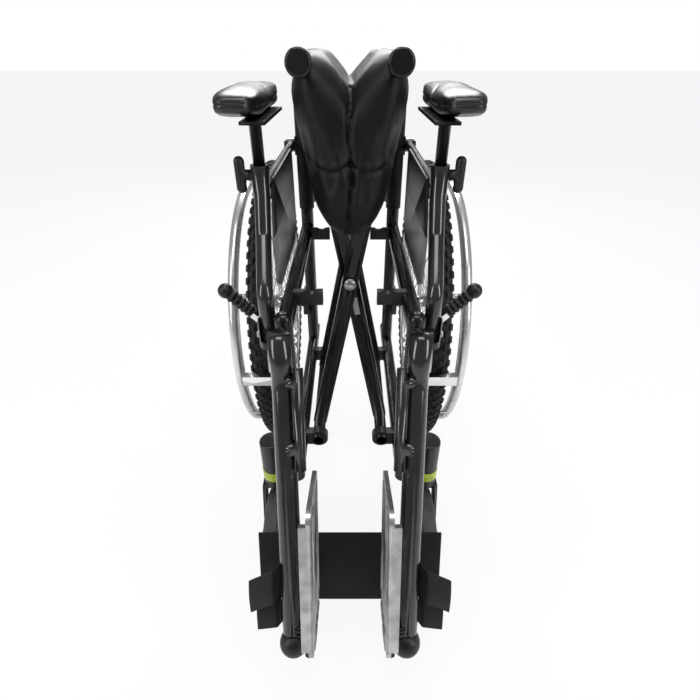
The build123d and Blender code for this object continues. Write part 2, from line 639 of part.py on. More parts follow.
def pad_post(s):
    """Height post that slides in the armrest's sleeve, with the plate under the pad."""
    x = s * (ARM_X + 6)
    with BuildPart() as post:
        rod((x, ARM_SLEEVE_Y, ARM_BAR_Z - 38), (x, ARM_SLEEVE_Y, PAD_Z - 3), PAD_POST_R)
        block((x - 16, ARM_SLEEVE_Y - 22, PAD_Z - 4), (x + 16, ARM_SLEEVE_Y + 150, PAD_Z))
    return post.part


def arm_pad(s):
    """Padded armrest with a narrowed, rounded front."""
    front = ARM_SLEEVE_Y - 34
    x = s * PAD_X
    with BuildPart() as pad:
        block((x - PAD_W / 2, front, PAD_Z), (x + PAD_W / 2, front + PAD_L, PAD_Z + PAD_H))
        fillet(pad.edges().filter_by(Axis.Z), radius=14)
        fillet(pad.edges().group_by(Axis.Z)[-1], radius=9)
    return pad.part


def arm_knob(s):
    """T-shaped clamping knob on the outer side of the sleeve."""
    x = ARM_X + 6 + ARM_TUBE_R + 1.5 + CLEAR
    y = ARM_SLEEVE_Y
    with BuildPart() as knob:
        rod((s * x, y, KNOB_Z), (s * (x + 14), y, KNOB_Z), 7)
        rod((s * (x + 14), y, KNOB_Z - 17), (s * (x + 14), y, KNOB_Z + 17), 7)
        for z in (KNOB_Z - 17, KNOB_Z + 17):
            with Locations((s * (x + 14), y, z)):
                Sphere(7)
    return knob.part


# ---- cross brace ------------------------------------------------------------------------------
def brace_point(s, share):
    """A point on the arm that starts at the bottom on side -s: share 0 is there, 2 at the top."""
    return (s * BRACE_X * (share - 1), LOWER_Z + PIVOT_RISE * share)


def cross_brace(s, first_y):
    """Two arms of square tube on a round tube below. s is the side of its upper end."""
    arm_dir = Vector(s * BRACE_X, 0, PIVOT_RISE).normalized()
    with BuildPart() as brace:
        for start in (BRACE_FRONT_Y + first_y, BRACE_REAR_Y + first_y):
            plane = Plane(origin=(0, start + BRACE_ARM_T / 2, PIVOT_Z), x_dir=(0, 1, 0), z_dir=arm_dir)
            with BuildSketch(plane.offset(-BRACE_HALF)) as section:
                Rectangle(BRACE_ARM_T, BRACE_ARM_W)
                Rectangle(BRACE_ARM_T - 4, BRACE_ARM_W - 4, mode=Mode.SUBTRACT)
            extrude(section.sketch, amount=2 * BRACE_HALF)
            with BuildSketch(plane.offset(-12)) as core:
                Rectangle(BRACE_ARM_T, BRACE_ARM_W)
            extrude(core.sketch, amount=24)
        low = brace_point(s, 0)
        high = brace_point(s, 2)
        rod((0, SEAT_FRONT, PIVOT_Z), (0, 0, PIVOT_Z), BRACE_BOLT_R + RUN, Mode.SUBTRACT)
        rod((high[0], SEAT_FRONT, high[1]), (high[0], SEAT_BACK, high[1]), TUBE_R, Mode.SUBTRACT)
        start = (low[0], BRACE_FRONT_Y - 50, low[1])
        end = (low[0], BRACE_REAR_Y + 66, low[1])
        rod(start, end, BRACE_TUBE_R)
        rod(start, end, BRACE_TUBE_R - TUBE_WALL, Mode.SUBTRACT)
    return brace.part


def pivot_bolts():
    """The two centre bolts, through both arms of each pair."""
    span = 2 * BRACE_ARM_T + BRACE_GAP
    with BuildPart() as bolts:
        for y in (BRACE_FRONT_Y, BRACE_REAR_Y):
            rod((0, y - 5, PIVOT_Z), (0, y + span + 5, PIVOT_Z), BRACE_BOLT_R)
            rod((0, y - 6, PIVOT_Z), (0, y - CLEAR, PIVOT_Z), 9)
            rod((0, y + span + CLEAR, PIVOT_Z), (0, y + span + 6, PIVOT_Z), 9)
    return bolts.part


def seat_rail(s):
    """Tube under the seat's edge with a round cap on its front end."""
    x = s * BRACE_X
    with BuildPart() as rail:
        rod((x, SEAT_FRONT, SEAT_RAIL_Z), (x, SEAT_BACK, SEAT_RAIL_Z), TUBE_R)
        rod((x, SEAT_FRONT, SEAT_RAIL_Z), (x, SEAT_BACK, SEAT_RAIL_Z), TUBE_IN_R, Mode.SUBTRACT)
        rod((x, SEAT_FRONT - 12, SEAT_RAIL_Z), (x, SEAT_FRONT, SEAT_RAIL_Z), CAP_R)
        fillet(rail.edges().group_by(Axis.Y)[0], radius=4)
        rod((x, SEAT_FRONT, SEAT_RAIL_Z), (x, SEAT_FRONT + 16, SEAT_RAIL_Z), TUBE_IN_R)
    return rail.part


# ---- cloth ------------------------------------------------------------------------------------
def seat_half(s):
    """Half of the seat sling: hangs from its rail along the brace arm, down to the fold line."""
    x = s * BRACE_X
    arm_dir = Vector(-s * BRACE_X, 0, -PIVOT_RISE).normalized()
    inward = Vector(-s * PIVOT_RISE, 0, BRACE_X).normalized()
    origin = Vector(x, (SEAT_FRONT + SEAT_BACK) / 2, SEAT_RAIL_Z) + inward * SEAT_CLOTH_OFF
    with BuildPart() as half:
        with BuildSketch(Plane(origin=origin, x_dir=(0, 1, 0), z_dir=arm_dir)) as section:
            Rectangle(SEAT_BACK - SEAT_FRONT - 10, CLOTH_T)
        extrude(section.sketch, amount=SEAT_CLOTH)
    return half.part


def back_half(s):
    """Half of the back sling, folded to the rear from its post."""
    turn = radians(BACK_ANGLE)
    out = Vector(-s * cos(turn), sin(turn), 0)
    origin = Vector(s * FRAME_X, POST_Y, (BACK_LOW + BACK_TOP) / 2) + out * (TUBE_R + CLEAR)
    with BuildPart() as half:
        with BuildSketch(Plane(origin=origin, x_dir=(0, 0, 1), z_dir=out)) as section:
            Rectangle(BACK_TOP - BACK_LOW, CLOTH_T)
        extrude(section.sketch, amount=BACK_CLOTH - TUBE_R - CLEAR)
    return half.part


def calf_strap(s, inner_x):
    """Calf band behind the footplates, from its free end to inner_x, with a tab at the leg tube."""
    with BuildPart() as strap:
        low = (s * STRAP_END_X, STRAP_Y - CLOTH_T / 2, STRAP_LOW)
        block(low, (inner_x, STRAP_Y + CLOTH_T / 2, STRAP_LOW + STRAP_H))
        tab_low = (s * STRAP_TAB_X, STRAP_Y - STRAP_TAB, STRAP_LOW + 20)
        block(tab_low, (s * (STRAP_TAB_X - CLOTH_T), STRAP_Y, STRAP_LOW + STRAP_H - 20))
    return leant(strap.part)


# ---- write every piece ------------------------------------------------------------------------
for side, s in SIDES:
    save(back_post(s), f"back_post_{side}")
    save(side_rails(s), f"side_rails_{side}")
    save(front_upright(s), f"front_upright_{side}")
    save(caster_housing(s), f"caster_housing_{side}")
    save(frame_fittings(s), f"frame_fittings_{side}")
    save(armrest_mounts(s), f"armrest_mounts_{side}")
    save(brake_bracket(s), f"brake_bracket_{side}")
    save(wheel_ring(s, TYRE_W / 2, RIM_R), f"tyre_{side}")
    save(wheel_rim(s), f"rim_{side}")
    save(wheel_hub(s), f"hub_and_spokes_{side}")
    save(on_side(handrim(1), s), f"handrim_{side}")
    save(caster_fork(s), f"caster_fork_{side}")
    save(caster_wheel(s), f"caster_wheel_{side}")
    save(brake_lever(s), f"brake_lever_{side}")
    save(brake_grip(s), f"brake_grip_{side}")
    save(hanger_tube(s), f"hanger_tube_{side}")
    save(hanger_plug(s), f"hanger_plug_{side}")
    save(footplate_hinge(s), f"footplate_hinge_{side}")
    save(footplate(s), f"footplate_{side}")
    save(on_side(armrest_frame(1), s), f"armrest_frame_{side}")
    save(skirt_guard(s), f"skirt_guard_{side}")
    save(pad_post(s), f"pad_post_{side}")
    save(arm_pad(s), f"arm_pad_{side}")
    save(arm_knob(s), f"arm_knob_{side}")
    save(seat_rail(s), f"seat_rail_{side}")
    save(seat_half(s), f"seat_half_{side}")
    save(back_half(s), f"back_half_{side}")

save(cross_brace(1, 0), "cross_brace_a")
save(cross_brace(-1, BRACE_ARM_T + BRACE_GAP), "cross_brace_b")
save(pivot_bolts(), "pivot_bolts")
save(calf_strap(-1, STRAP_SPLIT_X - CLEAR), "calf_strap_long")
save(calf_strap(1, STRAP_SPLIT_X + CLEAR), "calf_strap_short")
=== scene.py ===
# %% [markdown]
# # A folding wheelchair, shown folded
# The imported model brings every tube, plate and wheel at its real size. This lesson gives each of them
# its finish, and models what a solid can't show: tread, cloth, webbing, padding and small fasteners.

# %% Load the frame
import json
import math

import bpy
from mathutils import Matrix, Vector, noise


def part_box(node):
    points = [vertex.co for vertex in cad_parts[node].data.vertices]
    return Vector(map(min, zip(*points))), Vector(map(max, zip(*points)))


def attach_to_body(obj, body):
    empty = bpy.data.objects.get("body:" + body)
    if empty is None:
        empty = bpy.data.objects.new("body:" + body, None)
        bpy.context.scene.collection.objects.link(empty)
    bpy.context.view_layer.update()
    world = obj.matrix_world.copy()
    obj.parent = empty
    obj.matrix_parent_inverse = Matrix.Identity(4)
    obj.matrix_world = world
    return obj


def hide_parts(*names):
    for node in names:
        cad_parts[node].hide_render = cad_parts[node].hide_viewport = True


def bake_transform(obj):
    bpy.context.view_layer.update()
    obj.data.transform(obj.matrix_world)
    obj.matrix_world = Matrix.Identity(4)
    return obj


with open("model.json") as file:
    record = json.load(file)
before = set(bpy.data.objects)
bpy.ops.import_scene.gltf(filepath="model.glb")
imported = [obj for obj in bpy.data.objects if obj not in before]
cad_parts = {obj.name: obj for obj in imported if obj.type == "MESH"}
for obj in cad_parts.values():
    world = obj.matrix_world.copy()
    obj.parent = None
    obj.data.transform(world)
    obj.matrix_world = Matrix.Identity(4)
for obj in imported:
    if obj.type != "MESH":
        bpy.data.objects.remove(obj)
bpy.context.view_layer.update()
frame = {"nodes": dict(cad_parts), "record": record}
RECORD = frame["record"]
JOINTS = {j["name"]: j for j in RECORD["behaviour"]["joints"]}
SLOT_OF = {s["node"]: s["material_slot"] for s in RECORD["subparts"]}
BODY_OF = {n: b for b, nodes in RECORD["behaviour"]["bodies"].items() for n in nodes}
SIDES = (("left", -1), ("right", 1))
AXLE = Vector(JOINTS["wheel_roll_right"]["pos_m"])


# %% [markdown]
# ## Effects that several finishes share
# A node group is built once and placed in each material with its own values. `mottle` varies a colour
# and a roughness slowly, `grain` gives a fine height for a bump, `weave` crosses two sets of threads, and
# `split` changes the colour at a height.

# %% Mottled colour
def new_group(name, inputs, outputs):
    """An empty shader node group with named sockets, its input node and its output node."""
    group = bpy.data.node_groups.new(name, "ShaderNodeTree")
    for label, kind, value in inputs:
        socket = group.interface.new_socket(name=label, in_out="INPUT", socket_type=kind)
        if value is not None:
            socket.default_value = value
    for label, kind in outputs:
        group.interface.new_socket(name=label, in_out="OUTPUT", socket_type=kind)
    return group, group.nodes.new("NodeGroupInput"), group.nodes.new("NodeGroupOutput")


def mottle_group():
    colour = "NodeSocketColor"
    number = "NodeSocketFloat"
    inputs = [("Dark", colour, None), ("Light", colour, None), ("Scale", number, 20.0)]
    inputs += [("Rough", number, 0.4), ("Rough Spread", number, 0.1)]
    group, start, end = new_group("mottle", inputs, [("Color", colour), ("Roughness", number)])
    place = group.nodes.new("ShaderNodeTexCoord")
    cloud = group.nodes.new("ShaderNodeTexNoise")
    cloud.inputs["Detail"].default_value = 5.0
    ramp = group.nodes.new("ShaderNodeMapRange")
    ramp.inputs["From Min"].default_value = 0.35
    ramp.inputs["From Max"].default_value = 0.65
    mix = group.nodes.new("ShaderNodeMix")
    mix.data_type = "RGBA"
    centred = group.nodes.new("ShaderNodeMath")
    centred.operation = "SUBTRACT"
    centred.inputs[1].default_value = 0.5
    spread = group.nodes.new("ShaderNodeMath")
    spread.operation = "MULTIPLY_ADD"
    link = group.links.new
    link(place.outputs["Object"], cloud.inputs["Vector"])
    link(start.outputs["Scale"], cloud.inputs["Scale"])
    link(cloud.outputs["Fac"], ramp.inputs["Value"])
    link(ramp.outputs["Result"], mix.inputs["Factor"])
    link(start.outputs["Dark"], mix.inputs[6])
    link(start.outputs["Light"], mix.inputs[7])
    link(mix.outputs[2], end.inputs["Color"])
    link(cloud.outputs["Fac"], centred.inputs[0])
    link(centred.outputs[0], spread.inputs[0])
    link(start.outputs["Rough Spread"], spread.inputs[1])
    link(start.outputs["Rough"], spread.inputs[2])
    link(spread.outputs[0], end.inputs["Roughness"])
    return group


# %% Fine grain
def grain_group():
    number = "NodeSocketFloat"
    inputs = [("Scale", number, 400.0), ("Stretch", "NodeSocketVector", (1, 1, 1))]
    inputs += [("Cells", number, 0.0)]
    group, start, end = new_group("grain", inputs, [("Height", number)])
    place = group.nodes.new("ShaderNodeTexCoord")
    squeeze = group.nodes.new("ShaderNodeVectorMath")
    squeeze.operation = "MULTIPLY"
    cloud = group.nodes.new("ShaderNodeTexNoise")
    cells = group.nodes.new("ShaderNodeTexVoronoi")
    mix = group.nodes.new("ShaderNodeMix")
    link = group.links.new
    link(place.outputs["Object"], squeeze.inputs[0])
    link(start.outputs["Stretch"], squeeze.inputs[1])
    for texture in (cloud, cells):
        link(squeeze.outputs[0], texture.inputs["Vector"])
        link(start.outputs["Scale"], texture.inputs["Scale"])
    link(start.outputs["Cells"], mix.inputs[0])
    link(cloud.outputs["Fac"], mix.inputs[2])
    link(cells.outputs["Distance"], mix.inputs[3])
    link(mix.outputs[0], end.inputs["Height"])
    return group


# %% Woven threads
def weave_group():
    number = "NodeSocketFloat"
    group, start, end = new_group("weave", [("Scale", number, 900.0)], [("Height", number)])
    place = group.nodes.new("ShaderNodeTexCoord")
    heights = []
    for direction in ("X", "Z"):
        threads = group.nodes.new("ShaderNodeTexWave")
        threads.bands_direction = direction
        threads.inputs["Distortion"].default_value = 0.4
        group.links.new(place.outputs["Object"], threads.inputs["Vector"])
        group.links.new(start.outputs["Scale"], threads.inputs["Scale"])
        heights.append(threads.outputs["Fac"])
    both = group.nodes.new("ShaderNodeMath")
    both.operation = "MAXIMUM"
    group.links.new(heights[0], both.inputs[0])
    group.links.new(heights[1], both.inputs[1])
    group.links.new(both.outputs[0], end.inputs["Height"])
    return group


# %% Two colours by height
def split_group():
    colour = "NodeSocketColor"
    inputs = [("Upper", colour, None), ("Lower", colour, None), ("Height", "NodeSocketFloat", 0.5)]
    group, start, end = new_group("split", inputs, [("Color", colour)])
    place = group.nodes.new("ShaderNodeTexCoord")
    axes = group.nodes.new("ShaderNodeSeparateXYZ")
    under = group.nodes.new("ShaderNodeMath")
    under.operation = "LESS_THAN"
    mix = group.nodes.new("ShaderNodeMix")
    mix.data_type = "RGBA"
    link = group.links.new
    link(place.outputs["Object"], axes.inputs[0])
    link(axes.outputs["Z"], under.inputs[0])
    link(start.outputs["Height"], under.inputs[1])
    link(under.outputs[0], mix.inputs["Factor"])
    link(start.outputs["Upper"], mix.inputs[6])
    link(start.outputs["Lower"], mix.inputs[7])
    link(mix.outputs[2], end.inputs["Color"])
    return group


# %% The four groups
MOTTLE = mottle_group()
SPLIT = split_group()
GRAIN = grain_group()
WEAVE = weave_group()


# %% [markdown]
# ## Finishes
# Every finish on the chair is one call: two close colours that drift into each other, a roughness that
# drifts with them, and a bump that suits it: orange peel on paint, brush lines on metal, threads on cloth.
# The skirt guards are grey plastic below and black above, so their finish has a second colour by height.

# %% One finish
def finish(name, dark, light, rough, cloud=18.0, metal=0.0, coat=0.0, sheen=0.0, shine=0.5, bump=None):
    """bump is (group, values for its inputs, strength, depth in metres)."""
    material = bpy.data.materials.new(name)
    material.use_nodes = True
    tree = material.node_tree
    shader = tree.nodes["Principled BSDF"]
    shader.inputs["Metallic"].default_value = metal
    shader.inputs["Specular IOR Level"].default_value = shine
    shader.inputs["Coat Weight"].default_value = coat
    shader.inputs["Coat Roughness"].default_value = 0.08
    shader.inputs["Sheen Weight"].default_value = sheen
    tone = tree.nodes.new("ShaderNodeGroup")
    tone.node_tree = MOTTLE
    tone.inputs["Dark"].default_value = (*dark, 1)
    tone.inputs["Light"].default_value = (*light, 1)
    tone.inputs["Scale"].default_value = cloud
    tone.inputs["Rough"].default_value = rough
    tone.inputs["Rough Spread"].default_value = 0.1
    tree.links.new(tone.outputs["Color"], shader.inputs["Base Color"])
    tree.links.new(tone.outputs["Roughness"], shader.inputs["Roughness"])
    if bump:
        group, values, strength, depth = bump
        relief = tree.nodes.new("ShaderNodeGroup")
        relief.node_tree = group
        for key, value in values.items():
            relief.inputs[key].default_value = value
        lift = tree.nodes.new("ShaderNodeBump")
        lift.inputs["Strength"].default_value = strength
        lift.inputs["Distance"].default_value = depth
        tree.links.new(relief.outputs["Height"], lift.inputs["Height"])
        tree.links.new(lift.outputs["Normal"], shader.inputs["Normal"])
    return material


# %% A second colour
def two_tone(material, upper, height):
    """Paints a finish a second colour above a height, as where a sleeve covers a panel."""
    tree = material.node_tree
    shader = tree.nodes["Principled BSDF"]
    below = shader.inputs["Base Color"].links[0].from_socket
    split = tree.nodes.new("ShaderNodeGroup")
    split.node_tree = SPLIT
    split.inputs["Upper"].default_value = (*upper, 1)
    split.inputs["Height"].default_value = height
    tree.links.new(below, split.inputs["Lower"])
    tree.links.new(split.outputs["Color"], shader.inputs["Base Color"])


def grey(value, blue=0.0):
    return (value, value * (1 + blue / 2), value * (1 + blue))


# %% All the finishes
PEEL = (GRAIN, {"Scale": 260.0}, 0.08, 0.001)
RUBBER = (GRAIN, {"Scale": 500.0}, 0.35, 0.0006)
BRUSHED = (GRAIN, {"Scale": 300.0, "Stretch": (1, 0.05, 1)}, 0.15, 0.0005)
THREADS = (WEAVE, {"Scale": 260.0}, 0.25, 0.0005)
PEBBLED = (GRAIN, {"Scale": 420.0, "Cells": 0.8}, 0.25, 0.0005)
GUARD_SPLIT = 0.575
FINISHES = {
    "black_frame": finish(
        "black_frame", grey(0.003), grey(0.007), 0.24, coat=0.12, shine=0.3, bump=PEEL
    ),
    "dark_metal": finish(
        "dark_metal", grey(0.012, 0.1), grey(0.022, 0.1), 0.34, shine=0.4, bump=PEEL
    ),
    "gunmetal": finish(
        "gunmetal", grey(0.02, 0.2), grey(0.034, 0.2), 0.2, metal=0.6, coat=0.6, bump=PEEL
    ),
    "steel": finish("steel", grey(0.45), grey(0.6), 0.3, metal=1.0, bump=BRUSHED),
    "tyre": finish("tyre", grey(0.008), grey(0.022), 0.7, cloud=40.0, shine=0.35, bump=RUBBER),
    "rim_silver": finish("rim_silver", grey(0.5), grey(0.64), 0.26, metal=1.0, bump=BRUSHED),
    "spokes": finish("spokes", grey(0.45), grey(0.62), 0.2, metal=1.0),
    "handrim_silver": finish("handrim_silver", grey(0.6), grey(0.75), 0.28, metal=0.8, bump=PEEL),
    "caster_fork": finish(
        "caster_fork", grey(0.006), grey(0.012), 0.32, coat=0.15, shine=0.35, bump=PEEL
    ),
    "caster_tread": finish("caster_tread", grey(0.04), grey(0.07), 0.6, cloud=30.0, bump=RUBBER),
    "chrome": finish("chrome", grey(0.7), grey(0.82), 0.12, metal=1.0),
    "grip_rubber": finish("grip_rubber", grey(0.004), grey(0.009), 0.42, shine=0.4, bump=RUBBER),
    "plate_aluminium": finish(
        "plate_aluminium", grey(0.36), grey(0.6), 0.36, metal=1.0, cloud=45.0, bump=BRUSHED
    ),
    "guard_grey": finish("guard_grey", grey(0.1), grey(0.22), 0.42, cloud=9.0, bump=PEEL),
    "pad_vinyl": finish("pad_vinyl", grey(0.006), grey(0.012), 0.33, bump=PEBBLED),
    "black_plastic": finish("black_plastic", grey(0.005), grey(0.01), 0.4, shine=0.4, bump=PEEL),
    "black_nylon": finish("black_nylon", grey(0.002), grey(0.005), 0.42, sheen=0.02, shine=0.22, bump=THREADS),
    "webbing": finish("webbing", grey(0.005), grey(0.012), 0.7, sheen=0.06, shine=0.25, bump=THREADS),
}
two_tone(FINISHES["guard_grey"], grey(0.008), GUARD_SPLIT)
print("finishes", len(FINISHES))
REFLECTOR = finish("reflective_band", (0.3, 0.4, 0.02), (0.5, 0.6, 0.04), 0.3, cloud=60.0)
PALE_LABEL = finish("bare_label", grey(0.5), grey(0.62), 0.5)


# %% [markdown]
# ## From solids to smooth skins
# The solids arrive as loose triangles, so light would break on their facets. Each node that already has
# the right shape gets a skin: a copy with its corners merged, shaded smooth up to a crease.

# %% Helpers for every piece
def deselect():
    bpy.ops.object.select_all(action="DESELECT")


def activate(piece):
    deselect()
    piece.select_set(True)
    bpy.context.view_layer.objects.active = piece


def smooth(piece, degrees=32):
    activate(piece)
    bpy.ops.object.shade_smooth_by_angle(angle=math.radians(degrees))


def attach(piece, material, slot, body, *nodes):
    """Gives a finished piece its material and its body, and hides the nodes that it stands for; slot is not
    used.
    """
    piece.data.materials.clear()
    piece.data.materials.append(material)
    if body:
        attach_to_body(piece, body)
    if nodes:
        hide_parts(*nodes)
    return piece


# %% Skins of the hard pieces
def skin(node):
    source = frame["nodes"][node]
    piece = bpy.data.objects.new(f"{node}_skin", source.data.copy())
    bpy.context.scene.collection.objects.link(piece)
    activate(piece)
    bpy.ops.object.mode_set(mode="EDIT")
    bpy.ops.mesh.select_all(action="SELECT")
    bpy.ops.mesh.remove_doubles(threshold=0.000002)
    bpy.ops.object.mode_set(mode="OBJECT")
    smooth(piece)
    slot = SLOT_OF[node]
    return attach(piece, FINISHES[slot], slot, BODY_OF[node], node)


REMODELLED = ("tyre", "seat_half", "back_half", "calf_strap", "arm_pad")
HARD = [node for node in frame["nodes"] if not node.startswith(REMODELLED)]
for node in HARD:
    skin(node)
print("skins", len(HARD))


# %% [markdown]
# ## Tyres
# A knobbly tyre is a smooth casing with four rows of rubber blocks, two on its crown and one on each
# shoulder. One block is modelled and bevelled, then copied round the casing, and each row is half a block
# ahead of the row beside it.

# %% Tread block
TYRE_LOW, TYRE_HIGH = (Vector(corner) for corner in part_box("tyre_right"))
TYRE_OUT = (TYRE_HIGH.z - TYRE_LOW.z) / 2
TYRE_HALF = (TYRE_HIGH.x - TYRE_LOW.x) / 2
KNOB_H = 0.0032
KNOB_SIZE = (0.0085, 0.0125, 0.007)
KNOB_EDGE = 0.0012
KNOB_SUNK = 0.0006
KNOBS = 84
ROW_TILTS = (-52, -18, 18, 52)
print("tyre radius", round(TYRE_OUT, 4), "knobs", KNOBS * len(ROW_TILTS))


def tread_block():
    bpy.ops.mesh.primitive_cube_add(size=1)
    block = bpy.context.object
    block.scale = KNOB_SIZE
    bpy.ops.object.transform_apply(scale=True)
    bevel = block.modifiers.new("soft edges", "BEVEL")
    bevel.width = KNOB_EDGE
    bevel.segments = 1
    bpy.ops.object.modifier_apply(modifier=bevel.name)
    return block


# %% Casing with its tread
def tyre(side, s):
    centre = Vector((s * AXLE.x, AXLE.y, AXLE.z))
    casing_r = TYRE_HALF - KNOB_H
    ring_r = TYRE_OUT - TYRE_HALF
    deselect()
    bpy.ops.mesh.primitive_torus_add(
        location=centre,
        rotation=(0, math.pi / 2, 0),
        major_segments=180,
        minor_segments=24,
        major_radius=ring_r,
        minor_radius=casing_r,
    )
    casing = bpy.context.object
    parts = [casing]
    block = tread_block()
    for row, tilt in enumerate(ROW_TILTS):
        for i in range(KNOBS):
            turn = 2 * math.pi * (i + 0.5 * (row % 2)) / KNOBS
            knob = block.copy()
            knob.data = block.data.copy()
            bpy.context.scene.collection.objects.link(knob)
            lean = Matrix.Rotation(math.radians(tilt), 4, "Y")
            out = Matrix.Translation((0, 0, casing_r - KNOB_SUNK))
            spin = Matrix.Rotation(turn, 4, "X")
            ring = Matrix.Translation((0, 0, ring_r))
            knob.matrix_world = Matrix.Translation(centre) @ spin @ ring @ lean @ out
            parts.append(knob)
    bpy.data.objects.remove(block)
    deselect()
    for part in parts:
        part.select_set(True)
    bpy.context.view_layer.objects.active = casing
    bpy.ops.object.join()
    bpy.ops.object.transform_apply(location=True, rotation=True, scale=True)
    casing.name = f"tyre_tread_{side}"
    smooth(casing, 40)
    return attach(casing, FINISHES["tyre"], "tyre", f"wheel_{side}", f"tyre_{side}")


for side, s in SIDES:
    tyre(side, s)


# %% [markdown]
# ## Arm pads
# Each pad is moulded foam under vinyl: a box whose sides round over, crowned on top, with the seam of the
# cover pulled in all round and the front drawn up. A finely cut cube is pushed to that form, the Cloth
# simulation swells it a little with air, and the seam is pushed in last.

# %% A cube pushed to a form
def mapped(name, cuts, shape):
    """A finely cut cube from -1 to 1, each of its points moved by shape."""
    deselect()
    bpy.ops.mesh.primitive_cube_add(size=2)
    piece = bpy.context.object
    piece.name = name
    bpy.ops.object.mode_set(mode="EDIT")
    bpy.ops.mesh.subdivide(number_cuts=cuts)
    bpy.ops.object.mode_set(mode="OBJECT")
    for vertex in piece.data.vertices:
        vertex.co = shape(vertex.co.copy())
    return piece


# %% Swelling a cover with air
SWELL_FRAMES = 20


def inflate(piece, voxel, pressure, reach):
    """Swells a closed cover with air. No point ends further than reach from its start."""
    activate(piece)
    even = piece.modifiers.new("even", "REMESH")
    even.mode = "VOXEL"
    even.voxel_size = voxel
    bpy.ops.object.modifier_apply(modifier=even.name)
    start = [vertex.co.copy() for vertex in piece.data.vertices]
    cover = piece.modifiers.new("cover", "CLOTH")
    cover.settings.use_pressure = True
    cover.settings.uniform_pressure_force = pressure
    cover.settings.effector_weights.gravity = 0
    cover.point_cache.frame_start = 1
    cover.point_cache.frame_end = SWELL_FRAMES
    for step in range(1, SWELL_FRAMES + 1):
        bpy.context.scene.frame_set(step)
    bpy.ops.object.modifier_apply(modifier=cover.name)
    bpy.context.scene.frame_set(1)
    for vertex, place in zip(piece.data.vertices, start):
        move = vertex.co - place
        if move.length > reach:
            vertex.co = place + move * (reach / move.length)
    finer = piece.modifiers.new("finer", "SUBSURF")
    finer.levels = finer.render_levels = 1
    bpy.ops.object.modifier_apply(modifier=finer.name)


# %% The two pads
def rounded(p, power):
    """Moves a point of the cube from -1 to 1 onto a box whose edges round over more with a lower power."""
    size = sum(abs(c) ** power for c in p) ** (1 / power)
    return p * (max(abs(c) for c in p) / size)


NOSE_START = 0.35
PAD_CROWN = 0.10


def arm_pad(side):
    low, high = (Vector(corner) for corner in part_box(f"arm_pad_{side}"))
    middle = (low + high) / 2
    half = (high - low) / 2

    def shape(p):
        q = rounded(p, 5.0)
        crown = PAD_CROWN * (1 - q.x**2) * (1 - q.y**2) * max(0.0, q.z)
        draw = max(0.0, -q.y - NOSE_START) ** 2
        lift = 1.1 * draw * max(0.0, -q.z)
        x = q.x * (1 - 0.10 * draw)
        z = q.z - 0.06 + crown + lift
        return middle + Vector((x * half.x * 0.95, q.y * half.y * 0.98, z * half.z * 0.92))

    pad = mapped(f"arm_pad_cover_{side}", 28, shape)
    inflate(pad, 0.004, 4.0, 0.004)
    for vertex in pad.data.vertices:
        offset = vertex.co - middle
        front = max(0.0, -offset.y / half.y - NOSE_START)
        height = offset.z / half.z - 0.9 * front**2
        pinch = math.exp(-(((height + 0.18) / 0.05) ** 2))
        x = offset.x * (1 - 0.06 * pinch)
        y = offset.y * (1 - 0.012 * pinch)
        vertex.co = middle + Vector((x, y, offset.z))
        crease = noise.noise(vertex.co * 30)
        vertex.co.z += 0.0008 * crease * (offset.z > 0)
    smooth(pad, 60)
    attach(pad, FINISHES["pad_vinyl"], "pad_vinyl", f"pad_{side}", f"arm_pad_{side}")
    print("arm pad", side, [round(c, 3) for c in half * 2])


for side, _ in SIDES:
    arm_pad(side)


# %% [markdown]
# ## Seat sling
# The seat is padded nylon that wraps both rails. With the chair folded it hangs bunched between them,
# notched at the top where the two sides lean together. A finely cut cube takes that form and is swelled
# with air, then soft folds and the hem are pushed into it.

# %% Places of the seat
RAIL = Vector(JOINTS["seat_fold_right"]["pos_m"])
PIVOT = Vector(JOINTS["scissor"]["pos_m"])
SEAT_LOW, SEAT_HIGH = (Vector(corner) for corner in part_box("seat_half_right"))
ARM_SLOPE = RAIL.x / (RAIL.z - PIVOT.z)
SEAT_DROP = 0.222
SEAT_HEM = RAIL.z - 0.112
SEAT_TOP = RAIL.z + 0.019
NOTCH_DEPTH = 0.053
HUMP = 0.65
SEAT_HALF_WIDTH = 0.0735
RAIL_COVER = 0.0205
print("seat depth", round(SEAT_HIGH.y - SEAT_LOW.y, 3), "drop", SEAT_DROP)


# %% Helpers for cloth
def grid(name, cuts_x, cuts_y, shape):
    """A flat grid whose points, from 0 to 1 each way, are moved by shape."""
    deselect()
    bpy.ops.mesh.primitive_grid_add(x_subdivisions=cuts_x, y_subdivisions=cuts_y, size=1)
    piece = bpy.context.object
    piece.name = name
    for vertex in piece.data.vertices:
        vertex.co = shape(vertex.co.x + 0.5, vertex.co.y + 0.5)
    return piece


def thicken(piece, thickness):
    wall = piece.modifiers.new("cloth", "SOLIDIFY")
    wall.thickness = thickness
    wall.offset = 0
    activate(piece)
    bpy.ops.object.modifier_apply(modifier=wall.name)


def ridge(offset, width):
    """1 on a line and near 0 further from it than twice the width."""
    return math.exp(-((offset / width) ** 2))


def folds(along, down, seed):
    """Soft creases that run mostly down the cloth, from -1 to 1."""
    wide = noise.noise(Vector((along * 22 + seed, down * 5, seed)))
    sharp = 1 - 2 * abs(noise.noise(Vector((along * 34 + down * 14, down * 16, seed + 7))))
    return 0.6 * wide + 0.5 * sharp - 0.2


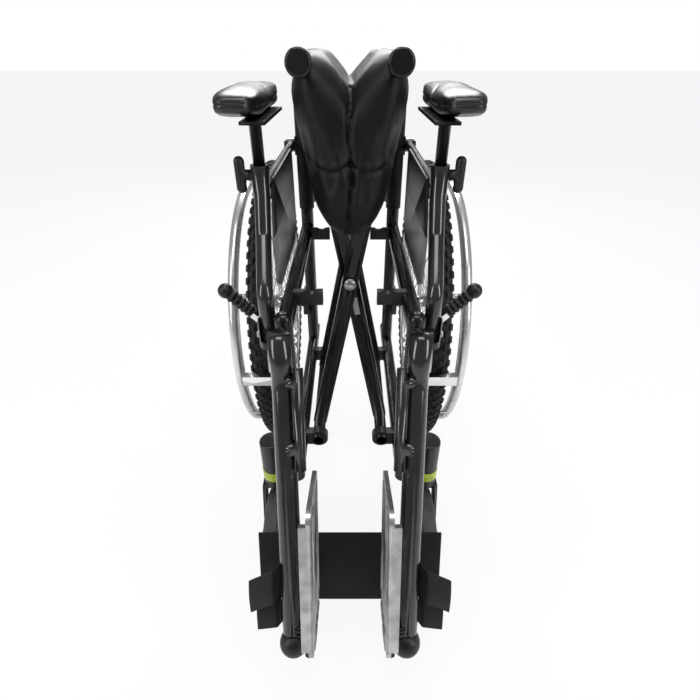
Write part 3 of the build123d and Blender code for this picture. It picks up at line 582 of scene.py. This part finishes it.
# %% The pouch and its creases
def seat_shape(p):
    """A pouch between the cross arms, notched on top: it rises from the notch to a hump over each rail."""
    q = rounded(p, 6.0)
    side = abs(q.x)
    if side < HUMP:
        top = SEAT_TOP - NOTCH_DEPTH + NOTCH_DEPTH * (side / HUMP) ** 0.9
    else:
        top = SEAT_TOP - 0.02 * ((side - HUMP) / (1 - HUMP)) ** 2
    low = RAIL.z - SEAT_DROP + 0.014 * side**2
    z = low + (top - low) * (q.z + 1) / 2
    half = min(SEAT_HALF_WIDTH, ARM_SLOPE * (z - PIVOT.z) + RAIL_COVER)
    y = (SEAT_LOW.y + SEAT_HIGH.y) / 2 + (SEAT_HIGH.y - SEAT_LOW.y) / 2 * q.y
    return Vector((half * q.x, y, z))


def seat_detail(co, normal):
    """Creases, the hem of the front and the fold line down its middle."""
    x, y, z = co
    drop = (RAIL.z - z) / SEAT_DROP
    front = max(0.0, -normal.y)
    hem_z = SEAT_HEM - 0.010 * math.sin(abs(x) * 60)
    hem = ridge(z - hem_z, 0.003) - 0.6 * ridge(z - hem_z - 0.007, 0.005)
    middle = ridge(x - 0.002 * math.sin(z * 60), 0.0035) * min(1.0, max(0.0, drop * 4))
    crease = folds(x, z, 3.0) * (0.3 + 0.9 * max(0.0, drop))
    cross = folds(z * 0.6, x * 2.5, 21.0) * ridge(drop - 0.62, 0.16)
    top = max(0.0, normal.z) * folds(x, y * 0.5, 8.0)
    push = front * (0.0032 * crease + 0.0035 * cross - 0.0035 * hem - 0.006 * middle) + 0.0018 * top
    return co + normal * push


# %% The finished seat
seat = mapped("seat_sling", 40, seat_shape)
inflate(seat, 0.006, 3.0, 0.006)
moved = [seat_detail(vertex.co.copy(), vertex.normal.copy()) for vertex in seat.data.vertices]
for vertex, place in zip(seat.data.vertices, moved):
    vertex.co = place
smooth(seat, 60)
attach(seat, FINISHES["black_nylon"], "black_nylon", None, "seat_half_left", "seat_half_right")
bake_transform(seat)


# %% [markdown]
# ## Back sling
# The back cloth is sleeved over each rear post and folds to the rear. Each half is a sleeve and a hanging
# panel in one sheet, set at a fixed turn from its post, so the cloth bends beside the post.

# %% Back
BACK_LOW, BACK_HIGH = (Vector(corner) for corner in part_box("back_half_right"))
BACK_TURN = math.radians(72)
SLEEVE_R = 0.0142
SLEEVE_SHARE = 0.4
BACK_REACH = 0.2685
BACK_BOW = 0.0126
BACK_SAG = 0.004
print("back height", round(BACK_HIGH.z - BACK_LOW.z, 3), "half width", round(BACK_REACH - SLEEVE_R, 3))


# %% A sleeve and its panel
def back_half(side, s):
    post = Vector(JOINTS[f"back_fold_{side}"]["pos_m"])
    out = Vector((-s * math.cos(BACK_TURN), math.sin(BACK_TURN), 0))
    across = Vector((-s * math.sin(BACK_TURN), -math.cos(BACK_TURN), 0))

    def shape(u, w):
        z = BACK_LOW.z + w * (BACK_HIGH.z - BACK_LOW.z)
        if u < SLEEVE_SHARE:
            turn = 2 * math.pi * (u / SLEEVE_SHARE) * 0.97 + 0.1
            arm = out * math.cos(turn) + across * math.sin(turn)
            return Vector((post.x, post.y, z)) + arm * SLEEVE_R
        run = (u - SLEEVE_SHARE) / (1 - SLEEVE_SHARE)
        sag = BACK_SAG * math.sin(math.pi * run)
        ripple = sag * folds(run * 0.2, z, 11.0 + s)
        away = SLEEVE_R + run * (BACK_REACH - SLEEVE_R)
        return Vector((post.x, post.y, z)) + out * away + across * (BACK_BOW * run - sag + ripple)

    cloth = grid(f"back_sling_{side}", 90, 60, shape)
    thicken(cloth, 0.002)
    smooth(cloth, 60)
    attach(cloth, FINISHES["black_nylon"], "black_nylon", None, f"back_half_{side}")
    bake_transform(cloth)


for side, s in SIDES:
    back_half(side, s)


# %% [markdown]
# ## Calf strap
# A wide webbing band behind the footplates, in two halves that part when the chair opens. Each end goes
# round its leg tube and closes with a flap of hook-and-loop tape above and a smaller tab below. Each is a
# strip bent along a few points in plan, with a wall, and all lean back with the leg tubes.

# %% Strap
FLIP = Vector(JOINTS["footplate_flip_right"]["pos_m"])
FLIP_AXIS = Vector(JOINTS["footplate_flip_right"]["axis"])
LEAN_ANGLE = math.atan2(FLIP_AXIS.z, FLIP_AXIS.y)
LEAN = Matrix.Translation((0, FLIP.y, FLIP.z)) @ Matrix.Rotation(LEAN_ANGLE, 4, "X")
STRAP_BACK = 0.0755
STRAP_LOW = -0.018
STRAP_HIGH = 0.1
STRAP_OUT = 0.138
TUBE_SIDE = 0.0985
BAND_WALL = 0.003
FLAP_WALL = 0.0025
print("lean", round(math.degrees(LEAN_ANGLE), 1), "strap height", STRAP_HIGH - STRAP_LOW)


# %% A bent strip
def strip(name, points, low, high, thickness, wave=0.0, droop=0.0):
    """A band on edge that follows points in plan between two heights, leant back with the leg tubes."""
    path = [Vector((*p, 0)) for p in points]
    lengths = [(b - a).length for a, b in zip(path, path[1:])]

    def shape(u, w):
        left = u * sum(lengths)
        i = 0
        while i < len(lengths) - 1 and left > lengths[i]:
            left -= lengths[i]
            i += 1
        spot = path[i].lerp(path[i + 1], min(1.0, left / lengths[i]))
        bow = wave * math.sin(u * math.pi * 2) * math.sin(w * math.pi)
        fall = droop * max(0.0, (u - 0.55) / 0.45) ** 1.5
        curl = droop * 0.3 * math.sin(w * math.pi) * max(0.0, u - 0.5)
        height = low + w * (high - low) + wave * math.sin(u * 5)
        return Vector((spot.x, spot.y + bow - curl, height - fall))

    band = grid(name, 70, 16, shape)
    thicken(band, thickness)
    band.data.transform(LEAN)
    smooth(band, 40)
    return band


# %% The strap's halves
def calf_strap(side, s, node, inner):
    body = f"hanger_{side}"
    path = [(inner, STRAP_BACK), (s * STRAP_OUT, STRAP_BACK)]
    band = strip(f"{node}_band", path, STRAP_LOW, STRAP_HIGH, BAND_WALL)
    attach(band, FINISHES["webbing"], "webbing", body, node)
    start = (s * TUBE_SIDE, STRAP_BACK - 0.002)
    upper = [start, (s * TUBE_SIDE, 0.012), (s * 0.106, 0.002), (s * 0.14, 0.012)]
    low, high = STRAP_LOW + 0.062, STRAP_HIGH - 0.004
    flap = strip(f"{node}_flap", upper, low, high, FLAP_WALL, 0.002, droop=0.024)
    attach(flap, FINISHES["webbing"], "webbing", body)
    lower = [start, (s * TUBE_SIDE, 0.02), (s * 0.104, 0.012), (s * 0.132, 0.014)]
    low, high = STRAP_LOW + 0.012, STRAP_LOW + 0.054
    tab = strip(f"{node}_tab", lower, low, high, FLAP_WALL, 0.0015, droop=0.006)
    attach(tab, FINISHES["webbing"], "webbing", body)


calf_strap("left", -1, "calf_strap_long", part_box("calf_strap_long")[1][0])
calf_strap("right", 1, "calf_strap_short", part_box("calf_strap_short")[0][0])


# %% [markdown]
# ## Fasteners, bands and bare labels
# Bolts with a hollow head hold the cups, brakes and hinges, a bright band marks each caster housing, and
# the plate on the cross brace is left bare. One function makes every bolt head at its place and axis.

# %% Bolt head
UP = Vector((0, 0, 1))


def bolt(name, place, axis, radius, body):
    deselect()
    bpy.ops.mesh.primitive_cylinder_add(vertices=24, radius=radius, depth=radius * 0.9)
    head = bpy.context.object
    head.name = name
    bpy.ops.object.mode_set(mode="EDIT")
    bpy.ops.mesh.select_mode(type="FACE")
    bpy.ops.mesh.select_all(action="DESELECT")
    bpy.ops.object.mode_set(mode="OBJECT")
    for face in head.data.polygons:
        face.select = face.normal.z > 0.9
    bpy.ops.object.mode_set(mode="EDIT")
    bpy.ops.mesh.inset(thickness=radius * 0.45)
    bpy.ops.transform.translate(value=(0, 0, -radius * 0.45))
    bpy.ops.object.mode_set(mode="OBJECT")
    bevel = head.modifiers.new("edge", "BEVEL")
    bevel.width = radius * 0.12
    bevel.segments = 2
    bevel.limit_method = "ANGLE"
    bpy.ops.object.modifier_apply(modifier=bevel.name)
    turn = UP.rotation_difference(Vector(axis)).to_matrix().to_4x4()
    head.data.transform(Matrix.Translation(place) @ turn)
    smooth(head, 40)
    attach(head, FINISHES["steel"], "steel", body)


# %% Band round a housing
TAPE_WALL = 0.0008
TAPE_UP = 0.018
TAPE_HIGH = 0.018


def collar(name, centre, radius, low, high, material, slot, body):
    """A thin band round an upright barrel."""

    def shape(u, w):
        turn = 2 * math.pi * u
        x = centre[0] + radius * math.cos(turn)
        y = centre[1] + radius * math.sin(turn)
        return Vector((x, y, low + w * (high - low)))

    band = grid(name, 48, 4, shape)
    thicken(band, TAPE_WALL)
    smooth(band, 40)
    attach(band, material, slot, body)


# %% Places of the bolts and bands
CUP_FACE = 0.1302
CUP_BOLT_Z = 0.458
BRACKET_FACE = 0.1088
HINGE_FACE = 0.0985
HINGE_BOLT_Z = 0.37
for side, s in SIDES:
    body = f"{side}_frame"
    outward = (s, 0, 0)
    outer_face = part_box(f"caster_housing_{side}")[s > 0][0]
    swivel = Vector(JOINTS[f"caster_swivel_{side}"]["pos_m"])
    tape_r = abs(outer_face - swivel.x) + TAPE_WALL / 2
    low = swivel.z + TAPE_UP
    tape = f"reflective_band_{side}"
    collar(tape, swivel, tape_r, low, low + TAPE_HIGH, REFLECTOR, "dark_metal", body)
    cup_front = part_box(f"armrest_mounts_{side}")[0][1]
    cup_place = (s * CUP_FACE, cup_front + 0.016, CUP_BOLT_Z)
    bolt(f"cup_bolt_{side}", cup_place, outward, 0.005, body)
    brake = Vector(JOINTS[f"brake_{side}"]["pos_m"])
    for i, offset in enumerate((0.02, 0.045)):
        place = (s * BRACKET_FACE, brake.y - 0.008 + 0.014 * i, brake.z + offset)
        bolt(f"brake_bolt_{side}_{i}", place, outward, 0.004, body)
    hinge = Vector(JOINTS[f"hanger_swing_{side}"]["pos_m"])
    hinge_place = (s * HINGE_FACE, hinge.y + 0.0215, HINGE_BOLT_Z)
    bolt(f"hanger_bolt_{side}", hinge_place, outward, 0.0045, body)


# %% Bare label
def bare_label(name, centre, along, across, body):
    """A blank plate, with rounded corners, stuck on the sloping front of a cross arm."""
    deselect()
    bpy.ops.mesh.primitive_cube_add(size=1)
    plate = bpy.context.object
    plate.name = name
    plate.scale = (across, 0.0006, along)
    bpy.ops.object.transform_apply(scale=True)
    bevel = plate.modifiers.new("corners", "BEVEL")
    bevel.width = 0.0002
    bevel.segments = 2
    bpy.ops.object.modifier_apply(modifier=bevel.name)
    tilt = Matrix.Rotation(-math.atan(ARM_SLOPE), 4, "Y")
    plate.data.transform(Matrix.Translation(centre) @ tilt)
    attach(plate, PALE_LABEL, "steel", body)


LABEL_DOWN = 0.05
LABEL_FRONT = 0.2725
label_place = (ARM_SLOPE * LABEL_DOWN, PIVOT.y - LABEL_FRONT, PIVOT.z - LABEL_DOWN)
bare_label("arm_label", label_place, 0.032, 0.009, "brace_b")


# %% [markdown]
# ## Floor, light and camera
# A white floor, a soft light above, another behind, and a strip on each side that draws the long
# highlights down the painted tubes. The world is dim on the chair and white to the camera, and a close,
# wide camera looks down on the chair's front.

# %% Floor
def backdrop_material():
    material = bpy.data.materials.new("pale_floor")
    material.use_nodes = True
    tree = material.node_tree
    shader = tree.nodes["Principled BSDF"]
    shader.inputs["Base Color"].default_value = (*grey(0.85), 1)
    shader.inputs["Roughness"].default_value = 0.9
    glow = tree.nodes.new("ShaderNodeEmission")
    glow.inputs["Strength"].default_value = 1.0
    path = tree.nodes.new("ShaderNodeLightPath")
    share = tree.nodes.new("ShaderNodeMath")
    share.operation = "MULTIPLY"
    share.inputs[1].default_value = 0.88
    mix = tree.nodes.new("ShaderNodeMixShader")
    tree.links.new(path.outputs["Is Camera Ray"], share.inputs[0])
    tree.links.new(share.outputs[0], mix.inputs["Fac"])
    tree.links.new(shader.outputs[0], mix.inputs[1])
    tree.links.new(glow.outputs[0], mix.inputs[2])
    tree.links.new(mix.outputs[0], tree.nodes["Material Output"].inputs["Surface"])
    return material


deselect()
bpy.ops.mesh.primitive_plane_add(size=40, location=(0, 0, -0.0005))
floor = bpy.context.object
floor.name = "floor"
floor.data.materials.append(backdrop_material())


# %% Lamps
def softbox(name, place, target, width, height, power):
    light = bpy.data.lights.new(name, "AREA")
    light.shape = "RECTANGLE"
    light.size = width
    light.size_y = height
    light.energy = power
    lamp = bpy.data.objects.new(name, light)
    bpy.context.scene.collection.objects.link(lamp)
    lamp.location = place
    lamp.rotation_euler = (Vector(target) - Vector(place)).to_track_quat("-Z", "Y").to_euler()


softbox("overhead", (0, -0.4, 2.6), (0, 0, 0.3), 1.6, 1.2, 30)
softbox("behind", (0, 2.0, 1.9), (0, 0, 0.6), 1.6, 0.7, 40)
softbox("left_strip", (-2.0, -1.4, 1.5), (0, -0.1, 0.4), 0.5, 2.0, 26)
softbox("right_strip", (2.0, -1.4, 1.5), (0, -0.1, 0.4), 0.5, 2.0, 26)

# %% World
world = bpy.data.worlds.new("studio")
world.use_nodes = True
sky = world.node_tree
shade = sky.nodes["Background"]
shade.inputs["Strength"].default_value = 0.28
seen = sky.nodes.new("ShaderNodeBackground")
for background in (shade, seen):
    background.inputs["Color"].default_value = (1, 1, 1, 1)
camera_ray = sky.nodes.new("ShaderNodeLightPath")
choose = sky.nodes.new("ShaderNodeMixShader")
sky.links.new(camera_ray.outputs["Is Camera Ray"], choose.inputs["Fac"])
sky.links.new(shade.outputs[0], choose.inputs[1])
sky.links.new(seen.outputs[0], choose.inputs[2])
sky.links.new(choose.outputs[0], sky.nodes["World Output"].inputs["Surface"])
bpy.context.scene.world = world
bpy.context.scene.view_settings.view_transform = "Standard"

# %% Camera
CAMERA_PLACE = Vector((0, AXLE.y - 0.9356, 0.7987))
CAMERA_DOWN = math.radians(34.0)
CAMERA_LENS = 23.14
camera_data = bpy.data.cameras.new("camera")
camera_data.sensor_width = 36
camera_data.lens = CAMERA_LENS
camera = bpy.data.objects.new("camera", camera_data)
bpy.context.scene.collection.objects.link(camera)
camera.location = CAMERA_PLACE
camera.rotation_euler = (math.pi / 2 - CAMERA_DOWN, 0, 0)
bpy.context.scene.camera = camera
